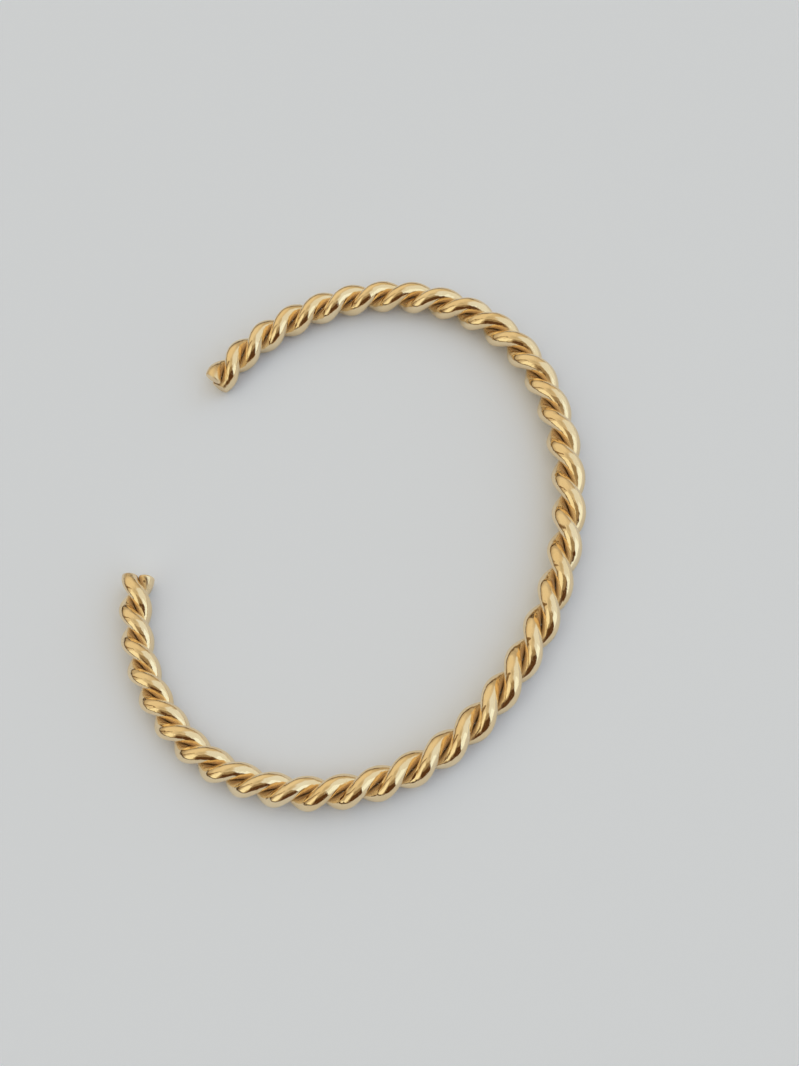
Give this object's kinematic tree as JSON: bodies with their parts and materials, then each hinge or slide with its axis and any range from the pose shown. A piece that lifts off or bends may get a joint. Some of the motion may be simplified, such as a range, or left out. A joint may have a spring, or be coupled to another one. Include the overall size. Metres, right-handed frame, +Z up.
{
  "type": "twisted wire cuff bangle",
  "caption": "Open oval cuff bangle of round gold-plated wire twisted into a rope, cut square at both ends, with a wide gap that lets it slip over the wrist.",
  "frame": {"origin": "on the surface that the bangle lies on, under the middle of its box", "axes": "+Z up out of the bangle's flat side, +Y along its long way, +X towards its closed back; the gap is at -X"},
  "size_m": [0.0563, 0.0699, 0.004],
  "materials": {
    "gold_plated_brass": "polished"
  },
  "bodies": {
    "root": {"first_wire": "gold_plated_brass", "second_wire": "gold_plated_brass"}
  },
  "joints": []
}
